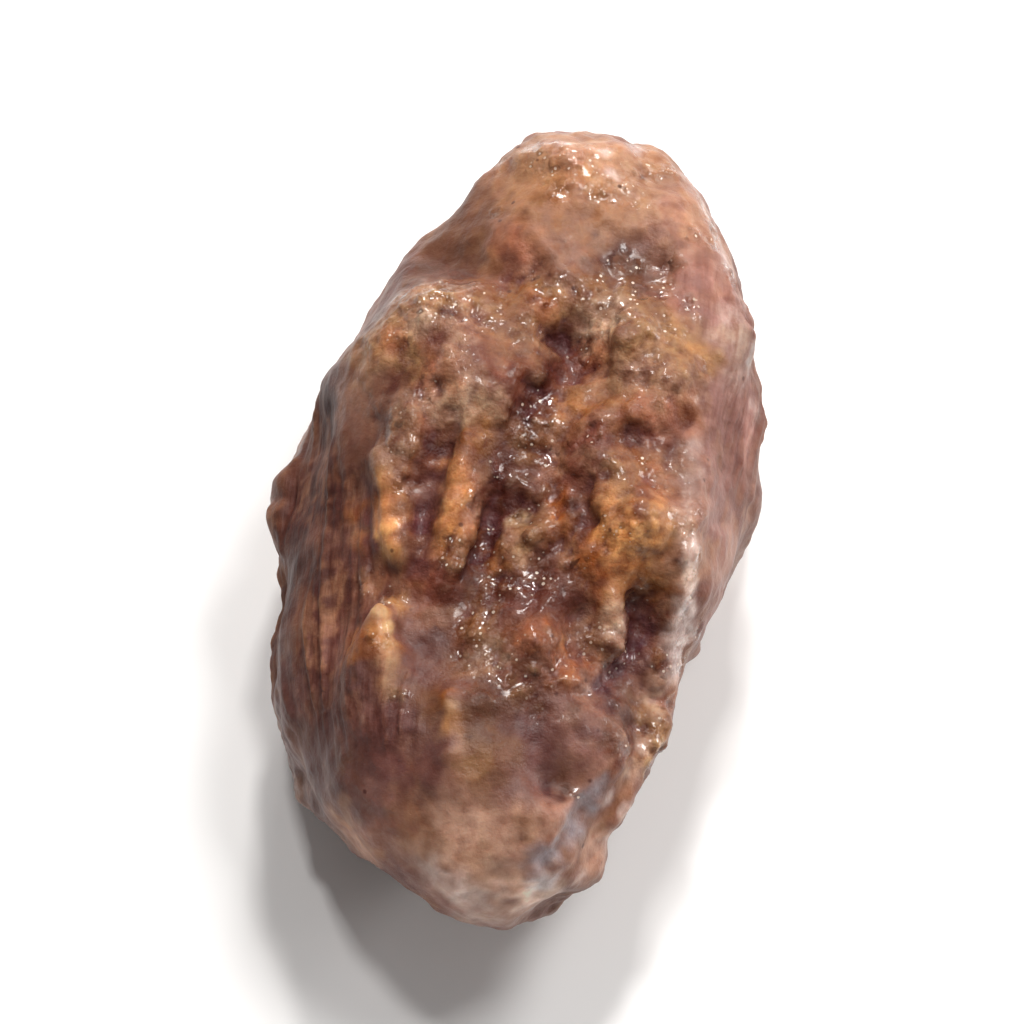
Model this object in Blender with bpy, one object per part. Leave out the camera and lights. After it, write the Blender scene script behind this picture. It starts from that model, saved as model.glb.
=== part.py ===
"""A caramelized almond: one kernel under an uneven coat of cooked sugar, lying on one broad side.

Metres, +Z up. The almond's length runs along Y with the blunt, thickly coated end at +Y, and the
origin is at the middle of the underside of its box. Places on the almond are given by two numbers:
how far along it they lie, from -1 at the near tip to 1 at the far one, and the angle round it, with
0 degrees at the right (+X), 90 at the top and 180 at the left.
"""

import math
import random

import bmesh
import bpy
from mathutils import Matrix, Vector, noise
from mathutils.bvhtree import BVHTree

MM = 0.001

# The kernel under its coat, in metres
KERNEL_LENGTH = 26.0 * MM
KERNEL_WIDTH = 13.5 * MM
KERNEL_TOP = 4.9 * MM  # from the widest level up
KERNEL_UNDER = 4.3 * MM  # from the widest level down
BOW = 1.8 * MM  # how far the belly leans to the left
NEAR_LEAN = 1.4 * MM  # how far the near tip leans to the left
SQUARENESS = 2.2  # 2 would be an oval section
FAR_TAPER = 0.30  # the far end is the narrower one
NEAR_TAPER = 0.14
END_FULLNESS = 0.46  # 0.5 would make the kernel's side view an oval

# The coat, in millimetres, as all reliefs below are
COAT_DEPTH = 0.75
COAT_SWAY = 0.35  # how far its depth drifts either way
COAT_SWAY_FINENESS = 0.25  # in swells per mm, as all finenesses below
KNOB_SPACING = 2.6
KNOB_HEIGHT = 0.75
GRAIN_SPACING = 1.25
GRAIN_HEIGHT = 0.42
KNOB_REACH = 0.75  # how far a knob spreads, as a share of the spacing
KNOB_WANDER = 0.45  # how far knobs stray from an even spacing, as a share of it
WANDER_FINENESS = 0.6
WANDER_DRAWS = ((0, 0, 0), (19, 0, 0), (0, 37, 0))  # where the noise is read for x, y and z
KNOB_LEVEL = 0.4  # the part of a knob's height that lies below the coat's mean level
CRUST_STIR = 0.9  # how much rougher some regions are than others
STIR_FINENESS = 0.3
STIR_DRAW = Vector((5, 0, 0))  # where that noise is read
TIP_CALM = (0.9, 1.0)  # places along the kernel between which the knobs fade out
UNDER_CALM = 0.8  # how much smoother the underside set against the tray
UNDER_RANGE = (0.5, 0.95)  # how far down a side faces where that begins, and where it is full
FOOT_CUT = 0.35  # what the tray flattened off the underside
ORDER = Vector((0.31, 1.0, 0.17))  # a slanting line that the mesh is numbered along after the cut

# How the syrup flowed off sharp peaks before it set
PEAK_LIMIT = 0.20 * MM  # how far a point may stand up from the mean of its neighbours
PEAK_ROUNDS = 6

# The skin's grooves, which run from tip to tip
GROOVES_ROUND = 38
GROOVE_DEPTH = 0.38
GROOVE_DRIFT = 0.03  # in radians
GROOVE_SWELLS = (3, 2)  # swells of that drift along the kernel and round it
SKIN_SWAY = 0.15
SKIN_SWAY_FINENESS = 0.5
BARE_EDGE = (0.34, 0.66)  # how much of a bare patch must count before the coat thins, and is gone
RAGGED_EDGE = ((0.42, 0.33), (0.95, 0.15))  # fineness and strength of each wave in a patch's edge

# The mesh of the coated kernel
SEGMENTS = 80
RINGS = 50
FINE_SIDE = math.radians(135)  # the side with the skin's grooves, where the segments stand closer
FINE_SHARE = 0.42  # how much closer
LARGE_NUGGET = 2.2  # in mm; from this length on a nugget gets the finer sphere

# Where the skin shows through: place along, angle, reach along in mm, reach round in mm
BARE_PATCHES = (
    (-0.36, 158, 7.5, 4.6),
    (-0.20, 92, 4.2, 3.0),
    (-0.42, 42, 2.2, 1.5),
    (0.30, 228, 4.0, 2.2),
    (-0.45, 318, 4.0, 2.2),
    (0.45, 352, 4.0, 2.2),
)

# Lumps and hollows of the coat: place along, angle, radius, height
SWELLINGS = (
    (0.20, 120, 2.5, 0.70),  # left shoulder
    (0.68, 88, 4.2, 0.80),  # cap on the far end
    (0.64, 38, 2.6, 0.40),
    (0.47, 126, 1.3, -0.95),  # notch between cap and shoulder
    (0.50, 68, 1.3, -0.80),  # dark hollow in the cap
    (0.28, 84, 0.9, -0.60),
    (0.13, 86, 1.1, -0.65),
    (0.08, 106, 1.4, 0.45),
    (0.30, 64, 1.9, 0.50),
    (-0.15, 50, 1.7, 0.60),
    (-0.37, 38, 1.2, -0.70),
    (-0.75, 54, 0.9, -0.45),
    (-0.84, 88, 3.0, 0.50),  # smooth cap on the near end
    (0.40, 325, 2.4, 0.60),
    (-0.62, 215, 2.6, 0.30),
    (0.0, 272, 6.0, 0.50),  # the pool of sugar that the almond set in
    (0.88, 14, 2.2, -1.30),  # the far end slopes away on the right
    (0.66, 8, 2.2, -0.40),
    (-0.38, 352, 2.8, -0.75),  # the waist below the mound, on the right
    (-0.68, 342, 2.4, -0.70),
    (-0.90, 2, 1.5, 0.50),
    (-0.96, 322, 2.0, -0.60),  # the near tip is lifted off the tray
    (-0.95, 212, 2.0, -0.80),
    (-0.50, 190, 3.0, 0.80),  # the belly, on the left
    (-0.80, 206, 2.4, -0.60),
    (0.78, 146, 2.4, 0.55),  # the far end's left corner
    (-0.14, 336, 2.0, -0.50),
)

# Long ridges: their course as places along and angles, their half-width, and their height
RIDGES = (
    (((0.22, 46), (0.07, 42), (-0.17, 41), (-0.33, 34), (-0.58, 46), (-0.70, 52), (-0.86, 60)), 0.70, 0.80),
    (((-0.05, 95), (-0.16, 99), (-0.30, 103)), 0.45, 0.55),
    (((0.00, 116), (-0.22, 117)), 0.55, 0.45),
    (((-0.14, 89), (-0.34, 91)), 0.50, -0.55),
)

# Nuggets of sugar stuck in the coat: place along, angle, length, width, height, turn in degrees
NUGGETS = (
    (-0.51, 120, 3.7, 1.3, 1.5, 17),
    (-0.12, 60, 1.8, 1.6, 1.3, 30),
    (-0.37, 49, 2.2, 1.1, 1.2, -6),
    (-0.20, 82, 1.3, 1.1, 0.9, 50),
    (-0.45, 74, 1.6, 1.3, 1.0, 15),
    (-0.02, 184, 2.6, 1.7, 1.6, -10),
    (0.30, 14, 1.8, 1.4, 0.9, 20),
    (-0.38, 25, 1.8, 1.4, 1.1, 35),
    (-0.53, 21, 1.6, 1.3, 1.0, -25),
    (0.46, 30, 1.7, 1.3, 0.9, 40),
    (0.55, 205, 2.2, 1.7, 1.2, 25),
    (0.26, 330, 2.2, 1.6, 1.2, -30),
    (-0.70, 235, 1.9, 1.5, 1.1, 10),
)
NUGGET_SINK = 0.55  # how far a nugget's middle lies below the coat, as a share of half its height
NUGGET_KNOCK = 0.3  # how uneven a nugget is
KNOCKS = 3.1  # swells of that unevenness across a nugget
FAR_OUT = 6 * MM  # clear of every lump, to look back at the coat from

# Crumbs of sugar strewn over the sides by a rule
CRUMB_SEED = 7
CRUMB_COUNT = 10
CRUMB_SIZE = (1.1, 1.8)
CRUMB_ANGLES = (-35, 215)
CRUMB_REACH = 0.85  # how near the tips they still stick
CRUMB_WIDTHS = (0.7, 0.95)  # as shares of their length
CRUMB_HEIGHTS = (0.5, 0.7)

# How the glaze rounds the corners round what is stuck in the coat
GLAZE_ROUNDS = 2
GLAZE_CORNER = math.radians(40)
GLAZE_FILL = 0.3  # how far each round moves a corner towards the mean of its neighbours

SHARP_EDGE = math.radians(60)  # edges sharper than this are shaded as edges
CARAMEL_BROWN = (0.25, 0.12, 0.08, 1.0)


def half_width(along):
    """The kernel's half width, which ends in a point at both tips."""
    taper = 1 - FAR_TAPER * max(along, 0.0) ** 2 - NEAR_TAPER * max(-along, 0.0) ** 2
    return KERNEL_WIDTH / 2 * math.sqrt(1 - along * along) * taper


def half_height(along, above):
    """The kernel's half height above or below its widest level."""
    full = KERNEL_TOP if above else KERNEL_UNDER
    return full * (1 - along * along) ** END_FULLNESS


def rounded(value):
    """A cosine or sine squared off a little, for the section's fuller corners."""
    return math.copysign(abs(value) ** (2 / SQUARENESS), value)


def kernel_point(along, angle):
    """A point on the bare kernel, with the angle in radians."""
    along = max(-1.0, min(1.0, along))
    lean = -BOW * (1 - along * along) * (1 - along) - NEAR_LEAN * max(-along, 0.0) ** 2
    across = half_width(along) * rounded(math.cos(angle))
    height = half_height(along, math.sin(angle) > 0) * rounded(math.sin(angle))
    return Vector((lean + across, KERNEL_LENGTH / 2 * along, height))


def place(along, degrees):
    """A point on the bare kernel in millimetres, from a place along it and an angle in degrees."""
    return kernel_point(along, math.radians(degrees)) / MM


def bareness(point):
    """How far the skin shows through the coat at a point in mm: 0 under sugar, 1 where it is bare."""
    shows = 0.0
    for along, degrees, reach_along, reach_round in BARE_PATCHES:
        offset = point - place(along, degrees)
        round_it = math.hypot(offset.x, offset.z)
        shows += math.exp(-((offset.y / reach_along) ** 2) - (round_it / reach_round) ** 2)
    ragged = sum(strength * noise.noise(point * fineness) for fineness, strength in RAGGED_EDGE)
    return smooth_step(*BARE_EDGE, shows + ragged)


def smooth_step(low, high, value):
    share = max(0.0, min(1.0, (value - low) / (high - low)))
    return share * share * (3 - 2 * share)


def knobs(point, spacing):
    """Rounded knobs a spacing apart with creases between them, from 0 in a crease to 1 on a knob."""
    drift = point * WANDER_FINENESS
    wander = Vector(noise.noise(drift + Vector(draw)) for draw in WANDER_DRAWS) * KNOB_WANDER
    nearest = noise.voronoi(point / spacing + wander)[0][0]
    return max(0.0, 1 - (nearest / KNOB_REACH) ** 2)


def groove(along, angle):
    """The skin's grooves, which run from tip to tip: 0 on a rib, 1 in a groove."""
    drift = GROOVE_DRIFT * noise.noise(Vector((GROOVE_SWELLS[0] * along, GROOVE_SWELLS[1] * angle, 4)))
    wave = 0.5 + 0.5 * math.cos(GROOVES_ROUND * (angle + drift))
    return wave * (1 - abs(along) ** 3)


def distance_to_course(point, course):
    """How far a point in mm lies from a course of places on the kernel."""
    stops = [place(*stop) for stop in course]
    nearest = math.inf
    for start, end in zip(stops, stops[1:]):
        step = end - start
        share = max(0.0, min(1.0, (point - start).dot(step) / step.length_squared))
        nearest = min(nearest, (point - start - step * share).length)
    return nearest


def coat_height(point, along, angle):
    """How far the finished surface stands off the bare kernel, in mm."""
    under = smooth_step(*UNDER_RANGE, -math.sin(angle))
    bare = bareness(point) * (1 - under)
    relief = KNOB_HEIGHT * (knobs(point, KNOB_SPACING) - KNOB_LEVEL)
    relief += GRAIN_HEIGHT * (knobs(point, GRAIN_SPACING) - KNOB_LEVEL)
    relief *= 1 + CRUST_STIR * noise.noise(point * STIR_FINENESS + STIR_DRAW)
    relief *= 1 - smooth_step(*TIP_CALM, abs(along))
    sugar = COAT_DEPTH + COAT_SWAY * noise.noise(point * COAT_SWAY_FINENESS)
    sugar += relief * (1 - UNDER_CALM * under)
    skin = SKIN_SWAY * noise.noise(point * SKIN_SWAY_FINENESS) - GROOVE_DEPTH * groove(along, angle)
    height = sugar * (1 - bare) + skin * bare
    for at, degrees, radius, lump in SWELLINGS:
        height += lump * math.exp(-(((point - place(at, degrees)).length / radius) ** 2))
    for course, half, rise in RIDGES:
        height += rise * math.exp(-((distance_to_course(point, course) / half) ** 2))
    return height


def drawn_angle(angle):
    """An angle round the sphere moved towards the fine side, so that its segments stand closer there."""
    return angle - FINE_SHARE * math.sin(angle - FINE_SIDE)


def coated_kernel():
    """A sphere with its poles at the tips, drawn out to the kernel and raised by the coat."""
    bm = bmesh.new()
    poles_to_tips = Matrix.Rotation(-math.pi / 2, 4, "X")
    bmesh.ops.create_uvsphere(bm, u_segments=SEGMENTS, v_segments=RINGS, radius=1, matrix=poles_to_tips)
    places = [(vert.co.y, drawn_angle(math.atan2(vert.co.z, vert.co.x))) for vert in bm.verts]
    for vert, (along, angle) in zip(bm.verts, places):
        vert.co = kernel_point(along, angle)
    bm.normal_update()
    raised = [
        vert.co + vert.normal * coat_height(vert.co / MM, along, angle) * MM
        for vert, (along, angle) in zip(bm.verts, places)
    ]
    for vert, target in zip(bm.verts, raised):
        vert.co = target
    return bm


def stand_off(vert):
    """How far a point stands up from the mean of its neighbours."""
    near = [edge.other_vert(vert).co for edge in vert.link_edges]
    return (vert.co - sum(near, Vector()) / len(near)).dot(vert.normal)


def round_peaks(bm):
    """Lowers the sharp peaks, as thick syrup does while it is hot."""
    for _ in range(PEAK_ROUNDS):
        bm.normal_update()
        peaks = [vert for vert in bm.verts if stand_off(vert) > PEAK_LIMIT]
        bmesh.ops.smooth_vert(
            bm, verts=peaks, factor=0.5, use_axis_x=True, use_axis_y=True, use_axis_z=True
        )


def cut_foot(bm):
    """Cuts the underside flat where the coat set on the tray, and closes it with one face."""
    level = min(vert.co.z for vert in bm.verts) + FOOT_CUT * MM
    geometry = bm.verts[:] + bm.edges[:] + bm.faces[:]
    cut = bmesh.ops.bisect_plane(
        bm, geom=geometry, dist=1e-7, plane_co=(0, 0, level), plane_no=(0, 0, -1), clear_outer=True
    )
    rim = [item for item in cut["geom_cut"] if isinstance(item, bmesh.types.BMEdge)]
    bmesh.ops.edgeloop_fill(bm, edges=rim)
    bmesh.ops.recalc_face_normals(bm, faces=bm.faces[:])
    bmesh.ops.triangulate(bm, faces=[face for face in bm.faces if len(face.verts) == 4])
    bm.verts.sort(key=lambda vert: vert.co.dot(ORDER))
    bm.faces.sort(key=lambda face: face.calc_center_median().dot(ORDER))
    return level


def outward(along, degrees):
    """The direction that faces away from the kernel at a place on it."""
    small = 0.02
    angle = math.radians(degrees)
    ahead = kernel_point(along + small, angle) - kernel_point(along - small, angle)
    aside = kernel_point(along, angle + small) - kernel_point(along, angle - small)
    return aside.cross(ahead).normalized()


def nugget(coat, name, along, degrees, size, turn, subdivisions, seed):
    """A rounded, slightly knocked lump of sugar, sunk into the coat. Its size is in mm."""
    normal = outward(along, degrees)
    far_out = kernel_point(along, math.radians(degrees)) + normal * FAR_OUT
    surface = coat.ray_cast(far_out, -normal)[0]
    middle = surface - normal * NUGGET_SINK * size[2] / 2 * MM
    forward = (Vector((0, 1, 0)) - normal * normal.y).normalized()
    side = forward.cross(normal)
    stand = Matrix((side, forward, normal)).transposed().to_4x4()
    stand = Matrix.Translation(middle) @ stand @ Matrix.Rotation(math.radians(turn), 4, "Z")
    bm = bmesh.new()
    bmesh.ops.create_icosphere(bm, subdivisions=subdivisions, radius=0.5)
    for vert in bm.verts:
        knock = 1 + NUGGET_KNOCK * noise.noise(vert.co * KNOCKS + Vector((seed, 0, 0)))
        shape = Vector((vert.co.x * size[1], vert.co.y * size[0], vert.co.z * size[2]))
        vert.co = stand @ (shape * knock * MM)
    mesh = bpy.data.meshes.new(name)
    bm.to_mesh(mesh)
    bm.free()
    return bpy.data.objects.new(name, mesh)


def all_nuggets(coat):
    """The placed nuggets, then the crumbs strewn by the seeded rule. coat is the coated kernel's tree."""
    found = []
    for number, (along, degrees, length, width, height, turn) in enumerate(NUGGETS):
        fineness = 3 if length >= LARGE_NUGGET else 2
        size = (length, width, height)
        found.append(nugget(coat, f"nugget_{number}", along, degrees, size, turn, fineness, number))
    draw = random.Random(CRUMB_SEED)
    for number in range(CRUMB_COUNT):
        along = draw.uniform(-CRUMB_REACH, CRUMB_REACH)
        degrees = draw.uniform(*CRUMB_ANGLES)
        length = draw.uniform(*CRUMB_SIZE)
        size = (length, length * draw.uniform(*CRUMB_WIDTHS), length * draw.uniform(*CRUMB_HEIGHTS))
        turn = draw.uniform(0, 180)
        found.append(nugget(coat, f"crumb_{number}", along, degrees, size, turn, 2, 40 + number))
    return found


def caramel_material():
    material = bpy.data.materials.new("caramel_coat")
    material.use_nodes = True
    shader = material.node_tree.nodes["Principled BSDF"]
    shader.inputs["Base Color"].default_value = CARAMEL_BROWN
    shader.inputs["Roughness"].default_value = 0.3
    shader.inputs["Metallic"].default_value = 0.0
    return material


def fuse(body, pieces):
    """Joins the pieces to the body with one Boolean union, which is applied, and removes them."""
    together = bpy.data.collections.new("stuck_on")
    bpy.context.scene.collection.children.link(together)
    for piece in pieces:
        together.objects.link(piece)
    union = body.modifiers.new("fuse", "BOOLEAN")
    union.operation = "UNION"
    union.operand_type = "COLLECTION"
    union.collection = together
    union.solver = "MANIFOLD"
    bpy.context.view_layer.update()
    graph = bpy.context.evaluated_depsgraph_get()
    fused = bpy.data.meshes.new_from_object(body.evaluated_get(graph))
    body.modifiers.remove(union)
    body.data = fused
    for piece in pieces:
        bpy.data.objects.remove(piece)
    bpy.data.collections.remove(together)


def fill_corners(mesh):
    """Lets the glaze fill the corners between the coat and what is stuck in it."""
    bm = bmesh.new()
    bm.from_mesh(mesh)
    for _ in range(GLAZE_ROUNDS):
        bm.normal_update()
        for vert in bm.verts:
            vert.tag = False
        for edge in bm.edges:
            if edge.calc_face_angle_signed() < -GLAZE_CORNER:
                edge.verts[0].tag = True
                edge.verts[1].tag = True
        corners = [vert for vert in bm.verts if vert.tag]
        bmesh.ops.smooth_vert(
            bm, verts=corners, factor=GLAZE_FILL, use_axis_x=True, use_axis_y=True, use_axis_z=True
        )
    bm.to_mesh(mesh)
    bm.free()


def set_on_origin(mesh, foot_level):
    """Moves the mesh so that the middle of its box is over the origin and its foot is at z = 0."""
    low = Vector(min(vert.co[axis] for vert in mesh.vertices) for axis in range(3))
    high = Vector(max(vert.co[axis] for vert in mesh.vertices) for axis in range(3))
    middle = (low + high) / 2
    mesh.transform(Matrix.Translation((-middle.x, -middle.y, -foot_level)))


def main():
    for obj in list(bpy.data.objects):
        bpy.data.objects.remove(obj)
    bm = coated_kernel()
    round_peaks(bm)
    foot_level = cut_foot(bm)
    coat = BVHTree.FromBMesh(bm)
    mesh = bpy.data.meshes.new("almond")
    bm.to_mesh(mesh)
    bm.free()
    almond = bpy.data.objects.new("almond", mesh)
    bpy.context.scene.collection.objects.link(almond)
    fuse(almond, all_nuggets(coat))
    fill_corners(almond.data)
    set_on_origin(almond.data, foot_level)
    almond.data.materials.clear()
    almond.data.materials.append(caramel_material())
    almond.data.shade_smooth()
    almond.data.set_sharp_from_angle(angle=SHARP_EDGE)


main()
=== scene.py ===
# %% [markdown]
# # A caramelized almond
# This lesson dresses a plain solid of one candied nut, so that it looks like the sweet it is: a
# brown almond under a crust of cooked sugar, glossy where the syrup ran smooth, rough where it
# crystallised, with the wrinkled skin showing on one flank. The solid comes in first, and nothing
# that follows may move it or grow past it, so its box is noted before anything else is made.

import math

import bpy
import numpy as np
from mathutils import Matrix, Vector, noise
from mathutils.bvhtree import BVHTree


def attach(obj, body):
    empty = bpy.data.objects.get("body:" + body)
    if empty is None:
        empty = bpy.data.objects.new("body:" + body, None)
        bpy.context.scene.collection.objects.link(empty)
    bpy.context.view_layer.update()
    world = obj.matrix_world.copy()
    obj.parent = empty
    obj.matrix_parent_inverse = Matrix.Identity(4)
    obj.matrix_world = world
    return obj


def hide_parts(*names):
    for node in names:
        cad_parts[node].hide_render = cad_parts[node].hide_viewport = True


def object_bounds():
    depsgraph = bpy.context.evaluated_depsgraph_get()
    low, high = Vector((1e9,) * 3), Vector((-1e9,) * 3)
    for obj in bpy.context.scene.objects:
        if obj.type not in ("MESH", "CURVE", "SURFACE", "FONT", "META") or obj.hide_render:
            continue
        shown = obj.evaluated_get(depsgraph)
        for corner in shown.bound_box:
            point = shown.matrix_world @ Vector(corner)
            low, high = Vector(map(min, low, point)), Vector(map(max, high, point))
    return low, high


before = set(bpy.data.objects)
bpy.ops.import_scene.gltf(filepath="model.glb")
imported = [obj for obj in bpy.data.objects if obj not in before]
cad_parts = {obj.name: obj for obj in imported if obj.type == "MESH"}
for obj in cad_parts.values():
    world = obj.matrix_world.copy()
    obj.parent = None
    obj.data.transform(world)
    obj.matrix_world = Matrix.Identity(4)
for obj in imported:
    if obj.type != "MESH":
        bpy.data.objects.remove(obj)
cad_low, cad_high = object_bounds()
MM = 0.001
middle = (cad_low + cad_high) / 2
half_length = (cad_high.y - cad_low.y) / 2
print("the almond's box in mm:", [round(side / MM, 2) for side in cad_high - cad_low])

# %% [markdown]
# ## The camera
# The nut is shown from above and a little from its near tip. A camera can be placed by hand, or
# from two angles and a distance, which is easier to change. A long lens from farther off keeps the
# near end from looking swollen, and the clip distance comes down because the nut is so small.

# %% A camera from two angles
VIEW_AZIMUTH = math.radians(6.1)
VIEW_ELEVATION = math.radians(66)
VIEW_DISTANCE = 0.122
VIEW_LENS = 138
NEAREST_SEEN = 0.005
towards_camera = Vector((
    math.sin(VIEW_AZIMUTH) * math.cos(VIEW_ELEVATION),
    -math.cos(VIEW_AZIMUTH) * math.cos(VIEW_ELEVATION),
    math.sin(VIEW_ELEVATION),
))
bpy.ops.object.select_all(action="DESELECT")
bpy.ops.object.camera_add(location=middle + towards_camera * VIEW_DISTANCE)
camera = bpy.context.object
camera.name = "camera"
camera.rotation_euler = towards_camera.to_track_quat("Z", "Y").to_euler()
camera.data.lens = VIEW_LENS
camera.data.clip_start = NEAREST_SEEN
bpy.context.scene.camera = camera
print("the camera stands", round(VIEW_DISTANCE * 100, 1), "cm away")

# %% [markdown]
# ## The ground and the light
# Sugar looks alive only when something bright is mirrored in it, but one big lamp would lay broad
# white patches over the glaze. So a wide lamp above on the right gives the shape its shade, a low
# one on the same side lights the rim, and three small bright ones put fine sparks on the grains.
# The ground is a plain pale sheet that bends up at the back.

# %% A pale ground
def plain_material(name, color, roughness):
    material = bpy.data.materials.new(name)
    material.use_nodes = True
    shader = material.node_tree.nodes["Principled BSDF"]
    shader.inputs["Base Color"].default_value = (*color, 1)
    shader.inputs["Roughness"].default_value = roughness
    return material


GROUND_SIZE = 1.2
BACKDROP_RISE = (0, 0.25, 0.5)
bpy.ops.object.select_all(action="DESELECT")
bpy.ops.mesh.primitive_plane_add(size=GROUND_SIZE, location=(0, 0, cad_low.z))
ground = bpy.context.object
ground.name = "ground"
for edge in ground.data.edges:
    edge.select = all(ground.data.vertices[corner].co.y > 0 for corner in edge.vertices)
for face in ground.data.polygons:
    face.select = False
for corner in ground.data.vertices:
    corner.select = corner.co.y > 0
bpy.ops.object.mode_set(mode="EDIT")
bpy.ops.mesh.select_mode(type="EDGE")
bpy.ops.mesh.extrude_region_move(TRANSFORM_OT_translate={"value": BACKDROP_RISE})
bpy.ops.object.mode_set(mode="OBJECT")
ground.data.materials.append(plain_material("pale_ground", (0.9, 0.9, 0.9), 0.7))
print("the ground has", len(ground.data.polygons), "faces")

# %% Five soft lamps and a pale room
def soft_lamp(name, place, size, power, color):
    """A square lamp that faces the nut. Its place and size are in metres, its power in watts."""
    bpy.ops.object.light_add(type="AREA", location=place)
    lamp = bpy.context.object
    lamp.name = name
    lamp.data.size = size
    lamp.data.energy = power
    lamp.data.color = color
    lamp.rotation_euler = (Vector(place) - middle).to_track_quat("Z", "Y").to_euler()


soft_lamp("lamp_over", (0.11, 0.09, 0.27), 0.08, 0.50, (1.0, 0.98, 0.96))
soft_lamp("lamp_rim", (0.22, 0.12, 0.06), 0.06, 0.26, (1.0, 0.98, 0.97))
soft_lamp("lamp_sparks", (0.01, 0.17, 0.25), 0.032, 0.36, (1.0, 0.97, 0.94))
soft_lamp("lamp_glint", (-0.04, 0.08, 0.28), 0.028, 0.24, (1.0, 0.98, 0.96))
soft_lamp("lamp_back", (-0.02, 0.27, 0.13), 0.036, 0.32, (1.0, 0.98, 0.96))
ROOM_LIGHT = 0.205
room = bpy.data.worlds.new("pale_room")
room.use_nodes = True
walls = room.node_tree.nodes["Background"]
walls.inputs["Color"].default_value = (1.0, 0.98, 0.97, 1)
walls.inputs["Strength"].default_value = ROOM_LIGHT
bpy.context.scene.world = room
bpy.context.scene.view_settings.view_transform = "Standard"

# %% [markdown]
# ## The coat's body
# Sugar has no straight edges, but the solid is made of flat triangles. Subdividing those alone
# keeps their corners in view, so the copy is first rebuilt from small even cubes and then smoothed
# until the facets are gone. The even faces that this gives are also what fine relief needs.

# %% A smooth, even copy of the solid
REBUILD_SIZE = 0.252 * MM
MERGE_DISTANCE = 0.001 * MM


def choose(piece):
    """Makes this piece the only selected one and the active one."""
    bpy.ops.object.select_all(action="DESELECT")
    piece.select_set(True)
    bpy.context.view_layer.objects.active = piece


def apply_modifier(piece, kind, **settings):
    """Adds a modifier with these settings and applies it."""
    choose(piece)
    modifier = piece.modifiers.new(kind.lower(), kind)
    for name, value in settings.items():
        setattr(modifier, name, value)
    bpy.ops.object.modifier_apply(modifier=modifier.name)


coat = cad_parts["almond"].copy()
coat.data = coat.data.copy()
coat.name = "sugar_coat"
for key in list(coat.keys()):
    del coat[key]
coat.parent = None
bpy.context.scene.collection.objects.link(coat)
choose(coat)
bpy.ops.object.mode_set(mode="EDIT")
bpy.ops.mesh.select_all(action="SELECT")
bpy.ops.mesh.remove_doubles(threshold=MERGE_DISTANCE)
bpy.ops.object.mode_set(mode="OBJECT")
apply_modifier(coat, "REMESH", mode="VOXEL", voxel_size=REBUILD_SIZE, use_smooth_shade=True)
apply_modifier(coat, "SMOOTH", factor=0.5, iterations=8)
print("the rebuilt coat has", len(coat.data.polygons), "faces")

# %% [markdown]
# ## Finding places on the nut
# Every lump, pit and stain has its place. Typing coordinates is hard to read, so a place is given
# as on a globe: how far along the nut it lies, from -1 at the near tip to 1 at the far one, and the
# angle round it, from 0 on the right over 90 on top to 180 on the left. A ray sent inwards from
# outside finds the surface there.

# %% From a place to a point on the coat
FAR_OUT = 0.03
TRAIL_STEPS = 4


def tree_of(piece):
    """The piece's surface in a form that rays can be cast at."""
    return BVHTree.FromPolygons(
        [vertex.co.copy() for vertex in piece.data.vertices],
        [tuple(face.vertices) for face in piece.data.polygons],
    )


def spot(along, degrees):
    """The point on the coat at a place along the nut and an angle round it."""
    angle = math.radians(degrees)
    outwards = Vector((math.cos(angle), 0, math.sin(angle)))
    axis = Vector((middle.x, middle.y + along * half_length, middle.z))
    found = tree.ray_cast(axis + outwards * FAR_OUT, -outwards)[0]
    return found if found else axis


tree = tree_of(coat)


def trail(*places):
    """Places spread evenly from each place to the next, all given as (along, degrees, reach)."""
    spread = []
    for start, end in zip(places, places[1:]):
        for step in range(TRAIL_STEPS):
            spread.append(tuple(a + (b - a) * step / TRAIL_STEPS for a, b in zip(start, end)))
    return (*spread, places[-1])


def points_of(piece):
    """The piece's points as rows of x, y and z."""
    points = np.empty(len(piece.data.vertices) * 3)
    piece.data.vertices.foreach_get("co", points)
    return points.reshape(-1, 3)


def normals_of(piece):
    normals = np.empty(len(piece.data.vertices) * 3, np.float32)
    piece.data.vertex_normals.foreach_get("vector", normals)
    return normals.reshape(-1, 3).astype(float)


print("the top of the middle is", round(spot(0, 90).z / MM, 2), "mm up")

# %% From a place to a mask
FADE_EDGE = 1.3
FAINTEST = 0.01


def smooth_step(values, start, full):
    """0 below start, 1 above full, and a soft slope between."""
    share = np.clip((values - start) / (full - start), 0, 1)
    return share * share * (3 - 2 * share)


def round_mask(points, along, degrees, reach, softness):
    """1 near a place, and 0 beyond FADE_EDGE times its reach in mm. Softness is how much fades."""
    distance = np.linalg.norm(points - np.array(spot(along, degrees)), axis=1) / (reach * MM)
    return smooth_step(-distance, -FADE_EDGE, -FADE_EDGE + FADE_EDGE * softness)


def keep_as_group(name, mask):
    """Stores a mask as a vertex group, which modifiers read."""
    group = coat.vertex_groups.new(name=name)
    for index in np.nonzero(mask > FAINTEST)[0]:
        group.add([int(index)], float(mask[index]), "REPLACE")


print("a mask fades from", smooth_step(0.0, -1, 0), "to", smooth_step(-1.0, -1, 0))

# %% [markdown]
# ## Calming the smooth parts
# Syrup that stayed liquid longest lies smooth: over both ends and down both flanks. The knobs of
# the solid are too even there. They could be rubbed down with a brush. A Smooth modifier that
# reads a vertex group does the same by rule: it melts them away where the group is strong and
# leaves the crust on top as it is.

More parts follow.
